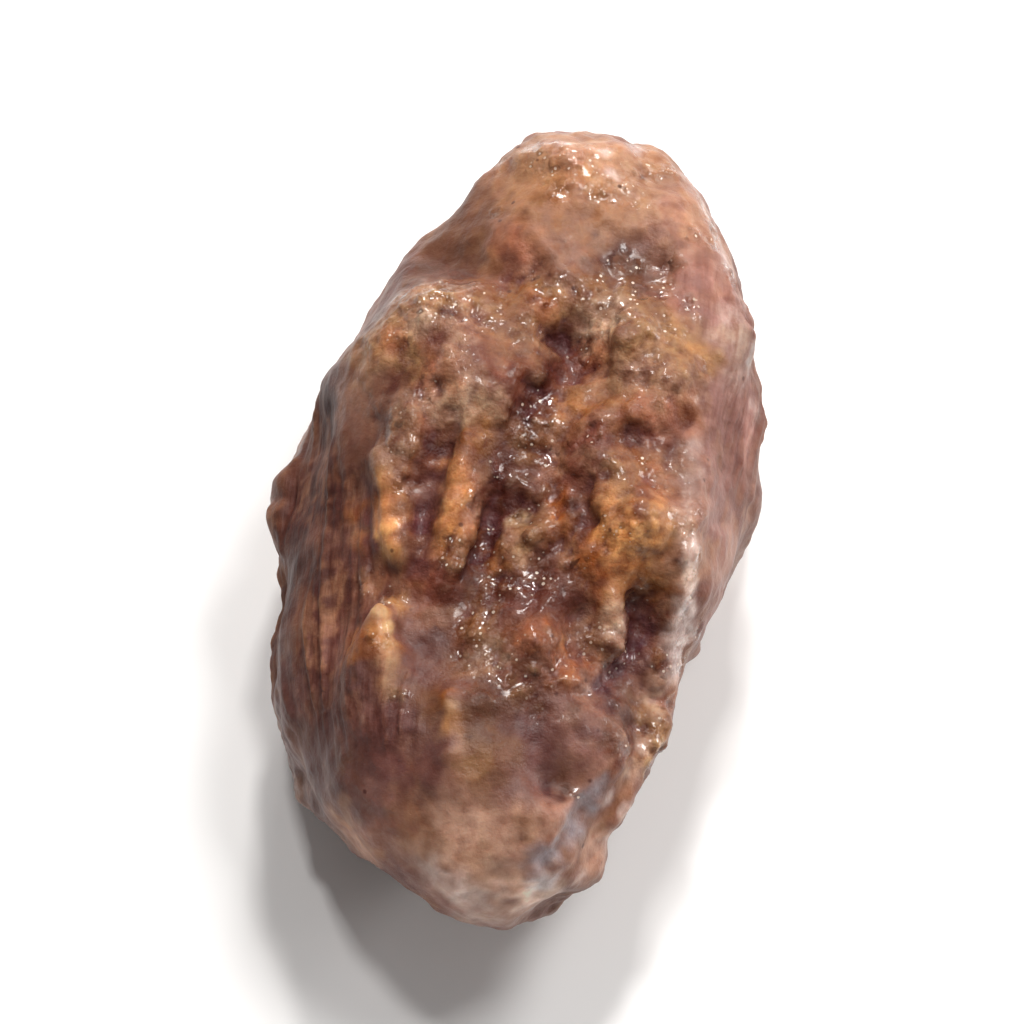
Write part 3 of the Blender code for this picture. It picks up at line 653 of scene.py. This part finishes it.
# %% Stains, from the lowest to the topmost
# Each has a colour, a strength, a softness, and places as (along, degrees, reach in mm).
STAINS = (
    (MAUVE, 0.9, 0.9, (
        (0.45, 31, 2.2), (0.32, 32, 2.0), (0.21, 28, 2.2), (0.50, 38, 1.2), (0.15, 19, 2.0),
        (0.60, 36, 1.6), (0.03, 30, 1.8), (-0.09, 25, 1.6),
    )),
    (BEIGE_GLAZE, 1.0, 0.8, (
        (0.68, 87, 4.0), (0.68, 54, 3.0), (0.58, 109, 2.4), (0.54, 69, 1.8), (0.86, 57, 2.5),
    )),
    (ROSE_BEIGE, 1.0, 0.8, (
        (-0.85, 72, 2.2), (-0.80, 59, 1.4), (-0.93, 89, 1.8), (-0.93, 63, 1.6), (-0.86, 97, 1.4),
        (-0.75, 60, 1.0), (-0.78, 89, 1.2), (-0.83, 18, 1.2), (-0.96, 44, 1.4), (-0.92, 116, 1.2),
    )),
    # painted shade: a darker brown along the far cap's left edge
    (BROWN_PAINTED_SHADE, 0.8, 0.9, (
        (0.55, 122, 1.0), (0.52, 129, 1.0), (0.60, 140, 0.9), (0.60, 114, 0.8), (0.65, 134, 0.8),
        (0.50, 138, 0.9), (0.72, 128, 0.8), (0.42, 135, 1.0),
    )),
    (OCHRE_SUGAR, 0.95, 0.8, (
        (0.34, 89, 1.6), (0.36, 98, 1.0), (0.29, 50, 1.9), (0.29, 41, 1.0), (0.13, 68, 0.9),
        (0.17, 55, 1.4), (0.26, 132, 1.8), (0.23, 141, 1.2), (0.19, 127, 1.4), (0.34, 120, 1.2),
        (-0.69, 89, 1.3), (-0.61, 85, 0.8), (-0.62, 93, 0.7), (-0.57, 75, 0.7), (-0.55, 21, 0.9),
        (-0.61, 17, 0.7), (0.41, 62, 1.0),
    )),
    (PURPLE_GLAZE, 0.95, 0.95, (
        (-0.62, 165, 2.2), (-0.72, 172, 1.8), (-0.55, 172, 2.0), (-0.80, 150, 1.4),
        (-0.50, 140, 1.2), (-0.60, -165, 2.2), (-0.72, -170, 2.0), (-0.45, 178, 2.0),
        (-0.25, 174, 1.6), (-0.54, 121, 1.2), (-0.65, 147, 2.2), (-0.73, 156, 1.8),
        (-0.76, 131, 1.8), (-0.67, 116, 1.4), (-0.79, 112, 0.9), (-0.58, 135, 1.8),
        (-0.46, 116, 0.9),
    )),
    (MAUVE, 0.85, 0.9, (
        (-0.63, 58, 1.4), (-0.62, 66, 1.0), (-0.61, 53, 0.9), (-0.69, 48, 0.8), (0.85, 56, 0.9),
        (0.92, 84, 1.2),
    )),
    (RED_CARAMEL, 0.9, 0.8, (
        (0.42, 98, 0.7), (0.25, 71, 1.2), (0.18, 87, 1.0), (0.22, 116, 0.7), (0.13, 131, 0.6),
        (0.09, 46, 0.9), (0.02, 66, 1.0), (-0.01, 117, 0.8), (-0.33, 77, 1.1), (-0.30, 55, 0.8),
        (-0.20, 119, 0.6), (-0.11, 81, 1.2), (-0.37, 87, 0.9), (-0.10, 92, 0.9), (-0.37, 107, 0.9),
    )),
    (RED_CARAMEL, 0.7, 0.9, (
        (-0.26, 105, 0.7), (-0.19, 125, 0.6), (-0.17, 62, 0.6), (-0.33, 95, 0.7), (0.21, 82, 0.8),
        (0.12, 89, 0.7), (0.16, 66, 0.7), (-0.01, 76, 0.9), (-0.07, 68, 0.9), (-0.11, 93, 0.8),
        (-0.01, 115, 0.6), (-0.08, 120, 0.7), (-0.23, 122, 0.7), (-0.17, 117, 0.5),
        (-0.30, 133, 0.5), (-0.34, 115, 0.7), (-0.14, 95, 0.5), (-0.20, 67, 0.7), (-0.33, 77, 0.8),
        (-0.31, 62, 0.8), (-0.22, 71, 0.7),
    )),
    (ROSE_BEIGE, 0.8, 0.9, ((0.11, 51, 0.9), (0.18, 48, 1.0), (0.11, 40, 0.8), (0.20, 54, 0.9))),
    (GREY_BEIGE, 0.9, 0.8, (
        (0.00, 127, 0.7), (0.08, 108, 1.2), (0.08, 100, 0.7), (0.05, 124, 0.6), (0.34, 63, 0.9),
        (0.37, 65, 0.6), (-0.49, 89, 0.7), (0.27, 121, 0.5),
    )),
    (AMBER, 0.4, 1.0, ((0.69, 90, 1.3), (0.74, 87, 0.9), (0.84, 35, 1.0), (0.63, 83, 0.8))),
    (GOLD, 0.35, 1.0, ((0.72, 92, 1.4), (0.84, 45, 1.1), (0.64, 72, 1.0), (0.80, 70, 0.8))),
    (AMBER, 0.9, 0.7, (
        (0.00, 102, 0.6), (-0.13, 141, 0.6), (-0.22, 140, 0.5), (-0.21, 103, 0.6), (-0.13, 69, 0.7),
        (-0.20, 55, 1.3), (-0.16, 40, 0.8), (-0.28, 46, 0.9), (-0.26, 39, 0.6), (-0.24, 92, 0.5),
        (-0.44, 11, 0.6), (-0.38, 123, 0.3), (0.37, 93, 0.8), (0.13, 65, 0.6), (-0.59, 104, 0.4),
        (-0.48, 136, 0.8),
    )),
    (OCHRE_SUGAR, 0.8, 0.9, (
        (-0.16, 58, 0.7), (-0.19, 53, 0.7), (-0.16, 41, 0.7), (-0.22, 53, 0.6), (-0.15, 50, 0.7),
        (-0.30, 48, 0.5), (-0.27, 48, 0.5),
    )),
    (ORANGE, 0.9, 0.7, (
        (-0.42, 75, 0.7), (-0.44, 79, 0.6), (-0.46, 73, 0.5), (-0.48, 60, 0.6), (-0.46, 45, 0.6),
    )),
    (GOLD, 0.85, 0.85, (
        (-0.08, 133, 0.5), (-0.14, 131, 0.5), (-0.20, 131, 0.5), (-0.26, 131, 0.4),
        (-0.06, 112, 0.5), (-0.11, 110, 0.5), (-0.16, 110, 0.5), (-0.21, 109, 0.4),
        (-0.11, 58, 0.8), (-0.20, 56, 0.7), (0.13, 68, 0.4), (0.29, 40, 0.5), (-0.65, 102, 0.4),
    )),
    (DARK_CARAMEL, 0.95, 0.8, (
        (0.49, 54, 0.7), (0.47, 104, 0.5), (0.31, 75, 0.7), (0.16, 82, 0.7), (0.08, 85, 0.8),
        (0.05, 55, 0.8), (0.14, 41, 0.5), (-0.01, 117, 0.5), (-0.12, 64, 0.5), (-0.17, 62, 0.4),
        (-0.09, 90, 0.6), (-0.18, 94, 0.5), (-0.23, 99, 0.4), (-0.73, 54, 0.7), (-0.23, 39, 0.3),
        (0.30, 115, 0.4), (-0.57, 54, 0.2), (-0.15, 127, 0.5), (-0.20, 119, 0.4),
    )),
    (PURPLE_GLAZE, 0.9, 0.9, ((0.49, 54, 1.4), (0.46, 51, 1.0), (0.51, 58, 0.9))),
    (MAROON, 0.95, 0.85, (
        (-0.31, 34, 0.5), (-0.36, 31, 0.7), (-0.39, 33, 0.8), (-0.44, 35, 0.7), (-0.48, 41, 0.6),
        (-0.40, 28, 0.6), (-0.33, 38, 0.5), (-0.32, 34, 0.7), (-0.29, 38, 0.5),
    )),
    (TIP_BEIGE, 0.9, 0.9, (
        (-0.99, 38, 0.9), (-0.99, 68, 0.8), (-0.99, 93, 0.8), (-0.96, 44, 0.9), (-0.96, 96, 0.9),
        (-0.97, 76, 1.0), (-0.94, 114, 0.8), (-0.94, 30, 0.7), (-0.88, 20, 0.5), (-0.93, 10, 0.8),
        (-0.73, 17, 0.4), (-0.78, 8, 0.5),
    )),
    (GREY_BEIGE, 0.9, 0.9, ((-0.36, 45, 0.5), (-0.33, 46, 0.45), (-0.38, 44, 0.4))),
    # a painted lilac reflection on the near end's right side
    (PAINTED_LILAC_REFLECTION, 0.85, 0.9, (
        (-0.76, 39, 0.6), (-0.82, 44, 0.7), (-0.89, 49, 0.7), (-0.93, 45, 0.6), (-0.73, 38, 0.4),
    )),
    # pale film with painted sheen down the fold of glaze on the right, here and in the next stain
    (PALE_FILM_AND_SHEEN, 0.85, 0.85, (
        (-0.17, 37, 0.3), (-0.20, 36, 0.4), (-0.23, 35, 0.5), (-0.25, 33, 0.5), (-0.27, 31, 0.5),
        (-0.29, 29, 0.5), (-0.31, 26, 0.5), (-0.34, 24, 0.5), (-0.37, 22, 0.5), (-0.41, 20, 0.5),
        (-0.28, 26, 0.5), (-0.33, 20, 0.5), (-0.38, 17, 0.4), (-0.31, 22, 0.4), (-0.41, 16, 0.4),
    )),
    (PALE_FILM_AND_SHEEN, 0.4, 0.9, (
        (0.06, 38, 0.4), (0.00, 38, 0.5), (-0.05, 39, 0.5), (-0.10, 40, 0.5), (-0.14, 40, 0.5),
        (-0.18, 38, 0.5),
    )),
    (TIP_BEIGE, 0.45, 0.9, (
        (-0.44, 20, 0.5), (-0.47, 21, 0.5), (-0.51, 19, 0.4), (-0.59, 23, 0.4), (-0.66, 23, 0.5),
    )),
    # painted highlights along the right rim and on the top of the far cap
    (PALE_FILM_AND_SHEEN, 0.55, 0.9, (
        (0.81, 27, 0.6), (0.75, 28, 0.6), (0.69, 28, 0.7), (0.59, 26, 0.7), (0.49, 24, 0.6),
        (0.34, 24, 0.5), (0.25, 14, 0.5), (0.65, 26, 0.6), (0.79, 95, 0.3), (0.79, 84, 0.3),
        (0.79, 68, 0.3), (0.84, 50, 0.3), (0.73, 64, 0.3), (-0.73, 30, 0.3),
    )),
    (MAROON, 0.8, 0.9, (
        (-0.08, 118, 0.5), (-0.13, 118, 0.6), (-0.19, 119, 0.6), (-0.10, 138, 0.5),
        (-0.17, 138, 0.5), (-0.23, 137, 0.5), (-0.28, 120, 0.5), (-0.06, 97, 0.4), (-0.15, 97, 0.5),
    )),
    (GOLD, 0.85, 0.9, (
        (-0.08, 130, 0.45), (-0.12, 129, 0.5), (-0.16, 129, 0.5), (-0.20, 129, 0.5),
        (-0.25, 129, 0.45), (-0.08, 107, 0.4), (-0.12, 107, 0.5), (-0.16, 107, 0.5),
        (-0.20, 109, 0.5), (-0.24, 111, 0.4),
    )),
    (GOLD, 0.75, 0.9, (
        (-0.16, 47, 0.7), (-0.20, 47, 0.7), (-0.24, 45, 0.6), (-0.12, 48, 0.5), (-0.20, 54, 0.6),
    )),
    (GOLD, 0.9, 0.85, (
        (-0.37, 129, 0.45), (-0.40, 128, 0.5), (-0.44, 127, 0.5), (-0.48, 126, 0.5),
        (-0.52, 126, 0.5), (-0.56, 125, 0.45), (-0.63, 101, 0.4), (-0.66, 98, 0.3),
    )),
    (CREAM_SUGAR, 0.9, 0.85, (
        (-0.41, 128, 0.25), (-0.44, 126, 0.3), (-0.48, 126, 0.35), (-0.52, 126, 0.35),
        (-0.56, 125, 0.35), (-0.58, 124, 0.3), (-0.15, 84, 0.35), (-0.62, 101, 0.3),
    )),
    (DARK_CARAMEL, 0.7, 0.9, (
        (0.75, 52, 0.14), (0.56, 69, 0.18), (0.55, 97, 0.2), (0.67, 76, 0.13), (0.55, 122, 0.2),
        (0.83, 27, 0.14), (0.60, 95, 0.14), (-0.93, 103, 0.2), (-0.97, 50, 0.26), (-0.87, 66, 0.2),
        (-0.77, 51, 0.2), (-0.68, 94, 0.16),
    )),
)

# %% Shades: tone changes, painted shade and painted light, multiplied over the colour
# Each has what it multiplies red, green and blue by, and its places.
TONES_AND_PAINTED_LIGHT = (
    ((1.35, 1.40, 1.35), (
        (-0.09, 130, 0.5), (-0.15, 129, 0.5), (-0.21, 129, 0.5), (-0.26, 130, 0.4),
        (-0.10, 107, 0.5), (-0.15, 107, 0.5), (-0.20, 109, 0.5), (-0.45, 18, 0.7),
    )),
    ((0.80, 0.80, 0.80), ((-0.05, 38, 0.6), (-0.44, 86, 0.9), (0.51, 55, 1.2))),
    ((0.80, 0.72, 1.15), ((-0.34, 33, 1.0), (-0.42, 34, 0.9))),
    ((0.74, 0.80, 0.86), ((-0.42, 78, 0.9), (-0.47, 72, 0.9))),
    ((1.30, 1.35, 1.35), (
        (-0.44, 126, 0.6), (-0.50, 126, 0.6), (-0.36, 45, 0.6), (-0.60, 17, 1.0), (-0.50, 18, 0.8),
    )),
    ((1.00, 0.82, 0.70), (
        (-0.10, 66, 1.2), (-0.20, 60, 1.4), (-0.26, 52, 1.2), (-0.10, 108, 1.4), (-0.20, 112, 1.4),
        (0.10, 76, 1.4), (-0.42, 76, 1.4), (-0.14, 130, 1.0), (0.02, 120, 1.0), (-0.08, 45, 1.0),
        (0.14, 92, 1.0), (-0.48, 128, 0.9),
    )),
    ((0.70, 0.62, 0.66), ((0.48, 53, 1.7), (-0.30, 68, 1.2), (-0.33, 105, 1.2), (-0.05, 88, 0.9))),
    # painted shade down the left flank
    ((0.58, 0.50, 0.50), (
        (0.05, 143, 2.0), (-0.08, 155, 1.8), (-0.20, 166, 1.8), (0.50, 137, 1.6), (0.18, 156, 1.8),
        (0.64, 128, 1.2), (0.30, 150, 1.6),
    )),
    # partly painted shade, over the near end
    ((0.70, 0.64, 0.68), (
        (-0.62, 125, 1.7), (-0.60, 85, 1.4), (-0.54, 38, 1.0), (-0.74, 114, 1.2), (-0.48, 97, 0.8),
        (0.46, 82, 1.0), (0.30, 92, 1.4), (0.28, 108, 0.8), (0.05, 85, 0.8), (-0.15, 128, 0.5),
    )),
    # partly painted light, on the near tip
    ((1.60, 1.75, 1.80), (
        (-0.64, 22, 0.8), (-0.76, 20, 1.2), (-0.93, 55, 1.8), (-0.82, 165, 1.4), (-0.98, 85, 1.6),
        (-0.21, 49, 1.0), (0.05, 67, 0.7), (0.19, 15, 1.0),
    )),
    ((1.25, 1.35, 1.40), (
        (0.75, 87, 2.0), (0.80, 62, 1.8), (0.07, 51, 0.8), (0.37, 41, 1.2), (-0.23, 81, 0.8),
        (-0.84, 131, 1.6), (-0.90, 95, 1.8), (-0.48, 76, 0.8),
    )),
    # painted shade over the near end
    ((0.50, 0.44, 0.52), (
        (-0.61, 87, 1.8), (-0.53, 37, 1.4), (-0.72, 70, 1.8), (-0.63, 75, 1.4), (-0.60, 45, 1.2),
    )),
    # partly painted shade, down the left flank
    ((0.72, 0.66, 0.62), (
        (-0.58, 63, 1.4), (0.08, 126, 1.5), (-0.05, 135, 1.2), (0.02, 41, 1.5), (-0.30, 93, 0.9),
        (0.45, 122, 1.4), (-0.45, 103, 1.0), (-0.03, 98, 0.9), (0.05, 174, 1.8), (-0.29, 165, 1.6),
        (0.15, 165, 1.8),
    )),
    ((0.82, 0.72, 0.62), ((0.59, 85, 2.0), (0.62, 108, 1.6), (0.13, 53, 1.2), (0.43, 72, 1.0))),
    ((1.75, 1.80, 1.70), (
        (0.27, 63, 1.0), (-0.19, 127, 0.8), (-0.33, 116, 0.8), (-0.32, 138, 0.7), (-0.18, 54, 1.0),
        (-0.85, 146, 1.6), (-0.95, 50, 1.0), (-0.26, 35, 0.7), (-0.62, 132, 1.0),
    )),
    ((1.35, 1.35, 1.35), (
        (-0.01, 74, 0.8), (-0.29, 51, 0.9), (-0.45, 151, 1.2), (-0.74, 122, 1.6), (0.75, 77, 1.4),
        (0.49, 38, 1.5), (0.63, 46, 1.4), (0.08, 108, 1.0), (-0.93, 94, 1.2),
    )),
    # a painted highlight along the right rim
    ((1.50, 2.10, 2.20), ((0.35, 30, 0.9), (0.42, 29, 0.8), (0.28, 28, 0.8))),
    ((1.25, 0.96, 0.88), (
        (0.13, 116, 0.8), (0.08, 55, 1.1), (0.14, 42, 0.9), (0.23, 129, 0.7), (0.49, 99, 1.2),
        (0.34, 84, 0.7),
    )),
)
print(len(STAINS), "stains and", len(TONES_AND_PAINTED_LIGHT), "shades")

# %% Broad clouds of colour, and the streaked skin
# A cloud is written as its size in mm, its seed, and the noise at which it starts and is full.
CLOUDS = (
    (OCHRE_SUGAR, 0.9, (2.6, 12, -0.1, 0.35), crust),
    (MAUVE, 0.8, (3.0, 13, 0.0, 0.4), 1 - crust),
    (ROSE_BEIGE, 0.8, (2.8, 14, 0.1, 0.4), 1 - skin),
    (RED_CARAMEL, 0.8, (1.4, 15, 0.05, 0.4), 1),
    (AMBER, 1, (1.2, 16, 0.2, 0.5), 0.25 + 0.35 * crust),
)


def lay(colour, mask):
    """Blends a colour into the tint by a mask."""
    global tint
    tint = tint + (np.array(colour) - tint) * mask[:, None]


tint = np.tile(np.array(CARAMEL), (len(here), 1))
for colour, strength, cloud, where in CLOUDS:
    lay(colour, strength * clouds_of(*cloud) * where)
streaks = stretched_waves(here + quick_drift, size=0.42, stretch=9, seed=19)
lay(SKIN_BROWN, 0.9 * skin)
lay(SKIN_TAN, 0.95 * skin * smooth_step(streaks, 0.06, 0.32))
lay(DARK_CARAMEL, 0.75 * skin * smooth_step(-streaks, 0.08, 0.38))
print("mean colour under the stains:", tint.mean(axis=0).round(3))

# %% Stains, small clouds and shades
# The last number of a small cloud is how much of it the smooth places lose.
SMALL_CLOUDS = (
    (OCHRE_SUGAR, 0.40, (1.0, 21, 0.0, 0.45), 1 - skin, 0.6),
    (MAUVE, 0.40, (1.1, 22, 0.05, 0.5), 1 - crust, 0.5),
    (BEIGE_GLAZE, 0.35, (0.8, 23, 0.1, 0.5), 1, 0.7),
)
for colour, strength, softness, places in STAINS:
    lay(colour, strength * patch(places, softness))
for colour, strength, cloud, where, loss in SMALL_CLOUDS:
    lay(colour, strength * clouds_of(*cloud) * where * (1 - loss * smooth))
# Some shades tune the colour, some are painted shade over the left flank and the near end, and some
# are painted light on the near tip and the right rim.
for shade, places in TONES_AND_PAINTED_LIGHT:
    tint = tint * (1 + (np.array(shade) - 1) * patch(places, softness=0.95)[:, None])
print("mean colour under the mottling:", tint.mean(axis=0).round(3))

# %% Hollows darker, peaks paler, and fine mottling
HOLLOW_SHOWS, HOLLOW_FULL = 0.005, 0.07
PEAK_SHOWS, PEAK_FULL = 0.02, 0.09
PALE_GAIN = 0.30
mottle = stretched_waves(here + quick_drift, size=0.55, stretch=1.6, seed=17)
mottle = mottle + 0.6 * waves(here, size=0.28, seed=18)
lay(MAROON, smooth_step(hollow, HOLLOW_SHOWS, HOLLOW_FULL) * (0.25 + 0.45 * crust))
lay(RED_CARAMEL, smooth_step(mottle, 0.15, 0.7) * (0.20 + 0.45 * crust) * (1 - 0.7 * skin))
lay(CREAM_SUGAR, smooth_step(-hollow, PEAK_SHOWS, PEAK_FULL) * (0.05 + 0.15 * grit))
lay(DARK_CARAMEL, 0.6 * skin * (1 - pleat) * fading)
tint = tint * (1 + PALE_GAIN * smooth_step(-mottle, 0.0, 0.8) * (0.5 + 0.5 * crust))[:, None]
print("mean colour:", tint.mean(axis=0).round(3))

# %% Masks and colours as attributes
def keep_values(piece, name, values):
    attribute = piece.data.attributes.new(name, "FLOAT", "POINT")
    attribute.data.foreach_set("value", np.asarray(values, np.float32))


def keep_colours(piece, name, colours):
    attribute = piece.data.attributes.new(name, "FLOAT_COLOR", "POINT")
    with_alpha = np.column_stack((colours, np.ones(len(colours)))).astype(np.float32)
    attribute.data.foreach_set("color", with_alpha.ravel())


keep_values(coat, "crust", crust)
keep_values(coat, "grit", grit)
keep_values(coat, "skin", skin)
keep_colours(coat, "tint", np.clip(tint, 0, 1))
print("attributes:", [item.name for item in coat.data.attributes])

# %% [markdown]
# ## One group for the fine grain
# Crystals too small to model still break up the colour and the shine. They could be scattered as
# thousands of small meshes, which looks like beads, or drawn by textures, which is finer. A node
# group does this in one place: it takes the painted colour and three strengths, for mottling, for
# grit and for the threads of the skin, and gives back a colour, a roughness, a wetness and a
# height for the bump.

# %% The grain group's helpers
def new_node(tree_of_nodes, kind, **settings):
    node = tree_of_nodes.nodes.new(kind)
    for name, value in settings.items():
        setattr(node, name, value)
    return node


def fill(node, **values):
    """Sets a node's inputs by name, with underscores for spaces."""
    for name, value in values.items():
        node.inputs[name.replace("_", " ")].default_value = value
    return node


def work_out(kind, operation, *values):
    """A Math node or a Vector Math node in the grain group. Each value is a socket or a number."""
    node = new_node(grain, kind, operation=operation)
    for index, value in enumerate(values):
        if isinstance(value, bpy.types.NodeSocket):
            grain.links.new(value, node.inputs[index])
        else:
            node.inputs[index].default_value = value
    return node.outputs["Value"] if operation == "DOT_PRODUCT" else node.outputs[0]


def number(operation, *values):
    return work_out("ShaderNodeMath", operation, *values)


def vector(operation, *values):
    return work_out("ShaderNodeVectorMath", operation, *values)


def spread_out(socket, start, end, low, high):
    """Maps this range of a socket's values onto another range."""
    node = new_node(grain, "ShaderNodeMapRange")
    fill(node, From_Min=start, From_Max=end, To_Min=low, To_Max=high)
    grain.links.new(socket, node.inputs["Value"])
    return node.outputs["Result"]


# %% The grain group and its sockets
grain = bpy.data.node_groups.new("sugar_grain", "ShaderNodeTree")
for name in ("Tint", "Mottle", "Grit", "Threads"):
    kind = "NodeSocketColor" if name == "Tint" else "NodeSocketFloat"
    grain.interface.new_socket(name, in_out="INPUT", socket_type=kind)
for name in ("Colour", "Roughness", "Wetness", "Height"):
    kind = "NodeSocketColor" if name == "Colour" else "NodeSocketFloat"
    grain.interface.new_socket(name, in_out="OUTPUT", socket_type=kind)
into = new_node(grain, "NodeGroupInput")
out = new_node(grain, "NodeGroupOutput")
print("the grain group has", len(grain.interface.items_tree), "sockets")

# %% The grain group's textures
DRAWN_OUT = (1.0, 0.1, 1.0)


def texture(kind, size, **values):
    """A texture in the grain group with features of this size in mm."""
    return fill(new_node(grain, kind), Scale=1 / (size * MM), **values)


place = new_node(grain, "ShaderNodeTexCoord").outputs["Object"]
clouds = texture("ShaderNodeTexNoise", 0.40, Detail=6.0, Roughness=0.68)
pebbles = texture("ShaderNodeTexNoise", 0.17, Detail=2.0, Roughness=0.5)
threads = texture("ShaderNodeTexNoise", 0.30, Detail=3.0, Roughness=0.55)
cells = texture("ShaderNodeTexVoronoi", 0.20)
dots = texture("ShaderNodeTexVoronoi", 0.8)
for pattern in (clouds, pebbles, cells, dots):
    grain.links.new(place, pattern.inputs["Vector"])
grain.links.new(vector("MULTIPLY", place, DRAWN_OUT), threads.inputs["Vector"])
print("the grain group has", len(grain.nodes), "nodes so far")

# %% Its colour: mottling and threads
GAIN = (0.34, 0.52, 0.58)
LEAST_GAIN = (0.22, 0.16, 0.14)
THREAD_PULL = 0.8
swing = spread_out(clouds.outputs["Fac"], 0.3, 0.7, -1.0, 1.0)
swing = number("MULTIPLY", swing, into.outputs["Mottle"])
thread_swing = spread_out(threads.outputs["Fac"], 0.36, 0.64, -1.0, 1.0)
thread_share = number("MULTIPLY", into.outputs["Threads"], THREAD_PULL)
swing = number("MULTIPLY_ADD", thread_swing, thread_share, swing)
gain = vector("MULTIPLY_ADD", swing, GAIN, (1.0, 1.0, 1.0))
shaded = vector("MULTIPLY", into.outputs["Tint"], vector("MAXIMUM", gain, LEAST_GAIN))
print("mottling changes red, green and blue by", GAIN)

# %% Its colour: dark specks, and pale crystals that also serve as painted glints
# Only some cells hold a speck or a crystal. The crystals are pale sugar and painted glints at once.
# The cell's own colour says which.
CRYSTAL_AND_GLINT = (0.80, 0.66, 0.54)


def blend(mask, under, colour):
    """Mixes one plain colour over another socket's colour by a mask."""
    node = new_node(grain, "ShaderNodeMix", data_type="RGBA")
    grain.links.new(mask, node.inputs["Factor"])
    grain.links.new(under, node.inputs[6])
    node.inputs[7].default_value = (*colour, 1)
    return node.outputs[2]


holds_speck = spread_out(dots.outputs["Color"], 0.55, 0.6, 0.0, 0.7)
speck = spread_out(dots.outputs["Distance"], 0.06, 0.12, 1.0, 0.0)
speck = number("MULTIPLY", speck, holds_speck)
ragged = number("MULTIPLY_ADD", pebbles.outputs["Fac"], 0.5, cells.outputs["Distance"])
holds_crystal_and_glint = spread_out(cells.outputs["Color"], 0.54, 0.58, 0.0, 1.0)
crystal_and_glint = number("MULTIPLY", spread_out(ragged, 0.40, 0.50, 1.0, 0.0), holds_crystal_and_glint)
crystal_and_glint = number("MULTIPLY", crystal_and_glint, spread_out(into.outputs["Grit"], 0.30, 0.80, 0.0, 0.9))
coloured = blend(crystal_and_glint, blend(speck, shaded, DARK_CARAMEL), CRYSTAL_AND_GLINT)
grain.links.new(coloured, out.inputs["Colour"])
print("a crystal is", CRYSTAL_AND_GLINT, "and a speck", DARK_CARAMEL)

# %% Its shine
SATIN = 0.36
WET = 0.12
DRY_SKIN = 0.26
shine = spread_out(into.outputs["Grit"], 0.1, 0.8, SATIN, WET)
shine = number("MULTIPLY_ADD", into.outputs["Threads"], DRY_SKIN, shine)
grain.links.new(shine, out.inputs["Roughness"])
wet_patches = spread_out(clouds.outputs["Fac"], 0.42, 0.58, 0.0, 1.0)
wetness = number("MULTIPLY", wet_patches, into.outputs["Grit"])
grain.links.new(wetness, out.inputs["Wetness"])
print("roughness runs from", SATIN, "to", WET, "and dry skin adds", DRY_SKIN)

# %% Its height
# A crystal is a flat facet that leans its own way, so it flashes only where it leans just right.
# The height is taken across each cell along a direction drawn from the cell's own colour.
FILM_RISE = 0.085
PEBBLE_RISE = 0.036
THREAD_RISE = 0.10
FACET_LEAN = 0.85
across = vector("SUBTRACT", place, cells.outputs["Position"])
leaning = vector("SUBTRACT", cells.outputs["Color"], (0.5, 0.5, 0.5))
facets = number("MULTIPLY", vector("DOT_PRODUCT", across, leaning), FACET_LEAN / MM)
height = number("MULTIPLY", facets, into.outputs["Grit"])
film = number("MULTIPLY", clouds.outputs["Fac"], FILM_RISE)
film = number("MULTIPLY_ADD", pebbles.outputs["Fac"], PEBBLE_RISE, film)
height = number("MULTIPLY_ADD", film, into.outputs["Mottle"], height)
thread_height = number("MULTIPLY", threads.outputs["Fac"], THREAD_RISE)
height = number("MULTIPLY_ADD", thread_height, into.outputs["Threads"], height)
grain.links.new(height, out.inputs["Height"])
print("the film rises by", FILM_RISE, "mm, and the group has", len(grain.nodes), "nodes")

# %% [markdown]
# ## The glaze itself
# Cooked sugar is a glassy brown solid: light enters, spreads a little and comes back warmer, and
# the surface mirrors the lamps. Glass would be slow and too clear, so a Principled shader with some
# subsurface scattering stands for it. The smooth film is only satin, and the grains are wet.

# %% The glaze material
SCATTER = (1.0, 0.42, 0.24)
SCATTER_DEPTH = 0.35 * MM
SMOOTH_MOTTLE = 0.5
glaze = bpy.data.materials.new("caramel_glaze")
glaze.use_nodes = True
nodes = glaze.node_tree
shader = nodes.nodes["Principled BSDF"]
fill(shader, Subsurface_Weight=0.25, Subsurface_Radius=SCATTER, Subsurface_Scale=SCATTER_DEPTH)
fill(shader, IOR=1.45, Specular_IOR_Level=0.22, Coat_Roughness=0.1, Coat_IOR=1.5)
painted = new_node(nodes, "ShaderNodeAttribute", attribute_name="tint")
crusted = new_node(nodes, "ShaderNodeAttribute", attribute_name="crust")
gritty = new_node(nodes, "ShaderNodeAttribute", attribute_name="grit")
threaded = new_node(nodes, "ShaderNodeAttribute", attribute_name="skin")
fine = new_node(nodes, "ShaderNodeGroup", node_tree=grain)
nodes.links.new(painted.outputs["Color"], fine.inputs["Tint"])
mottled = fill(new_node(nodes, "ShaderNodeMapRange"), To_Min=SMOOTH_MOTTLE, To_Max=1.0)
nodes.links.new(crusted.outputs["Fac"], mottled.inputs["Value"])
nodes.links.new(mottled.outputs["Result"], fine.inputs["Mottle"])
nodes.links.new(gritty.outputs["Fac"], fine.inputs["Grit"])
nodes.links.new(threaded.outputs["Fac"], fine.inputs["Threads"])
nodes.links.new(fine.outputs["Colour"], shader.inputs["Base Color"])
nodes.links.new(fine.outputs["Roughness"], shader.inputs["Roughness"])
nodes.links.new(fine.outputs["Wetness"], shader.inputs["Coat Weight"])
bump = fill(new_node(nodes, "ShaderNodeBump"), Strength=1.0, Distance=1.0 * MM)
nodes.links.new(fine.outputs["Height"], bump.inputs["Height"])
nodes.links.new(bump.outputs["Normal"], shader.inputs["Normal"])
print("the glaze has", len(nodes.nodes), "nodes")

# %% The coat stands for the solid
coat.data.materials.clear()
coat.data.materials.append(glaze)
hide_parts("almond")
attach(coat, "root")
print("glaze on", coat.name)
